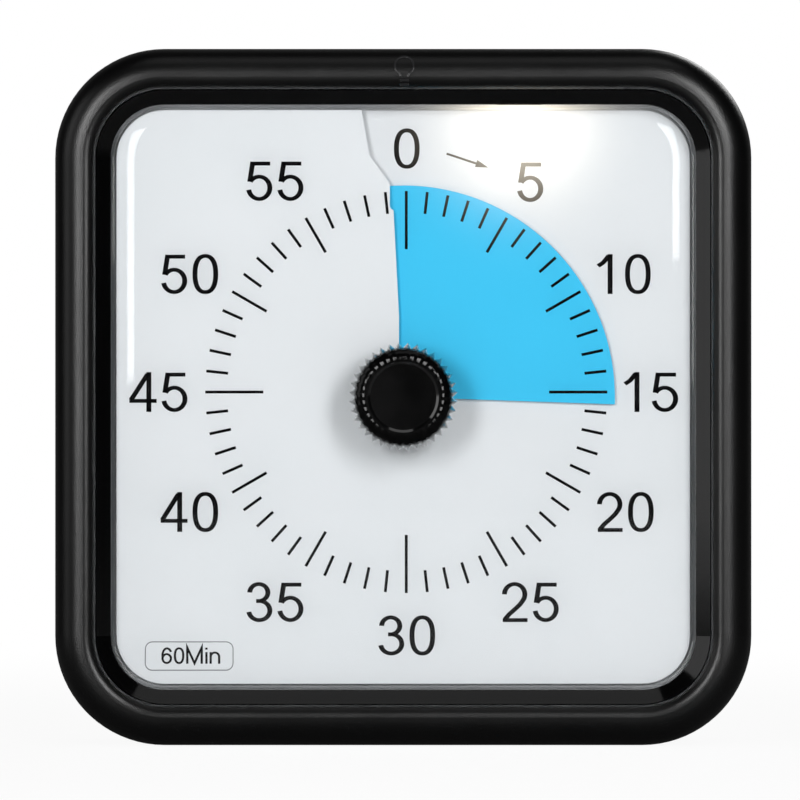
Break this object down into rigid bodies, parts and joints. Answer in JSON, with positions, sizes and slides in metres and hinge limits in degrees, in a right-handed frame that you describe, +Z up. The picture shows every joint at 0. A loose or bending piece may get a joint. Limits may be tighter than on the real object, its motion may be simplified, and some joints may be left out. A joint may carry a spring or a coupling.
{
  "type": "visual countdown timer",
  "caption": "Square tabletop countdown timer with a toothed centre knob, a blue disc that screws out through a slit dial, a clear window and a night-light button.",
  "frame": {"origin": "middle of the flat underside of the case, halfway between the front rim and the back", "axes": "+Z up, +X to the right seen from the front, the dial faces -Y, the shaft's axis lies along Y at 70 mm up"},
  "size_m": [0.14, 0.0455, 0.14],
  "materials": {
    "case_black": "fine spark-eroded grain",
    "gloss_black": "polished",
    "clear_window": "clear moulded acrylic",
    "dial_white": "satin white sheet",
    "carrier_grey": "plain moulded",
    "disc_blue": "satin sky blue sheet",
    "hub_white": "natural acetal",
    "movement_shell": "plain moulded",
    "steel": "bright",
    "spring_contact": "nickel plated",
    "cell_jacket": "plain printed jacket",
    "board_green": "solder mask",
    "part_black": "moulded",
    "crystal_can": "drawn can",
    "sounder_brass": "brass disc",
    "lamp_white": "lamp body"
  },
  "bodies": {
    "housing": {"front_housing": "case_black", "back_cover": "case_black", "bezel_ring": "gloss_black", "front_window": "clear_window", "dial_plate": "dial_white", "dial_carrier": "carrier_grey", "movement_front": "movement_shell", "movement_rear": "movement_shell", "timing_motor": "steel", "housing_screws": "steel", "carrier_screws": "steel", "movement_screws": "steel", "board_screws": "steel", "light_screws": "steel", "contact_spring_right": "spring_contact", "contact_spring_left": "spring_contact", "contact_plates_right": "spring_contact", "contact_bridge_left": "spring_contact", "cell_upper": "cell_jacket", "cell_lower": "cell_jacket", "main_board": "board_green", "light_board": "board_green", "control_chip": "part_black", "filter_capacitor": "part_black", "volume_switch": "part_black", "light_switch": "part_black", "timing_crystal": "crystal_can", "alarm_sounder": "sounder_brass", "night_lamp": "lamp_white"},
    "knob": {"timer_knob": "gloss_black", "knob_shaft": "steel", "centre_wheel": "hub_white", "clutch_spring": "steel", "shaft_clip": "steel"},
    "disc": {"time_disc": "disc_blue", "disc_hub": "hub_white"},
    "idler": {"idler_gear": "hub_white"},
    "rotor": {"motor_pinion": "hub_white"},
    "button": {"light_button": "case_black", "switch_plunger": "part_black"},
    "slider": {"volume_slider": "part_black"},
    "door": {"battery_door": "case_black"}
  },
  "joints": [
    {"name": "knob_turn", "type": "hinge", "parent": "housing", "child": "knob", "pos_m": [0, 0, 0.07], "axis": [0, 1, 0], "range_deg": [-92, 268]},
    {"name": "disc_climb", "type": "slide", "parent": "knob", "child": "disc", "axis": [0, -1, 0], "range_m": [-0.00051, 0.00149]},
    {"name": "idler_turn", "type": "hinge", "parent": "housing", "child": "idler", "pos_m": [0.01631, 0, 0.07761], "axis": [0, 1, 0], "range_deg": [-1341, 461]},
    {"name": "rotor_turn", "type": "hinge", "parent": "housing", "child": "rotor", "pos_m": [0.01892, 0, 0.09238], "axis": [0, 1, 0], "range_deg": [-1841, 5361]},
    {"name": "light_button_press", "type": "slide", "parent": "housing", "child": "button", "axis": [0, 0, -1], "range_m": [0, 0.0008], "stiffness_N_per_m": 500},
    {"name": "volume_slide", "type": "slide", "parent": "housing", "child": "slider", "axis": [1, 0, 0], "range_m": [-0.0025, 0.0025]},
    {"name": "battery_door_swing", "type": "hinge", "parent": "housing", "child": "door", "pos_m": [0, 0.0182, 0.0137], "axis": [-1, 0, 0], "range_deg": [0, 95]}
  ],
  "couplings": [
    {"joint": "disc_climb", "follows": "knob_turn", "m_per_rad": 0.00031831},
    {"joint": "idler_turn", "follows": "knob_turn", "ratio": -5},
    {"joint": "rotor_turn", "follows": "knob_turn", "ratio": 20}
  ]
}
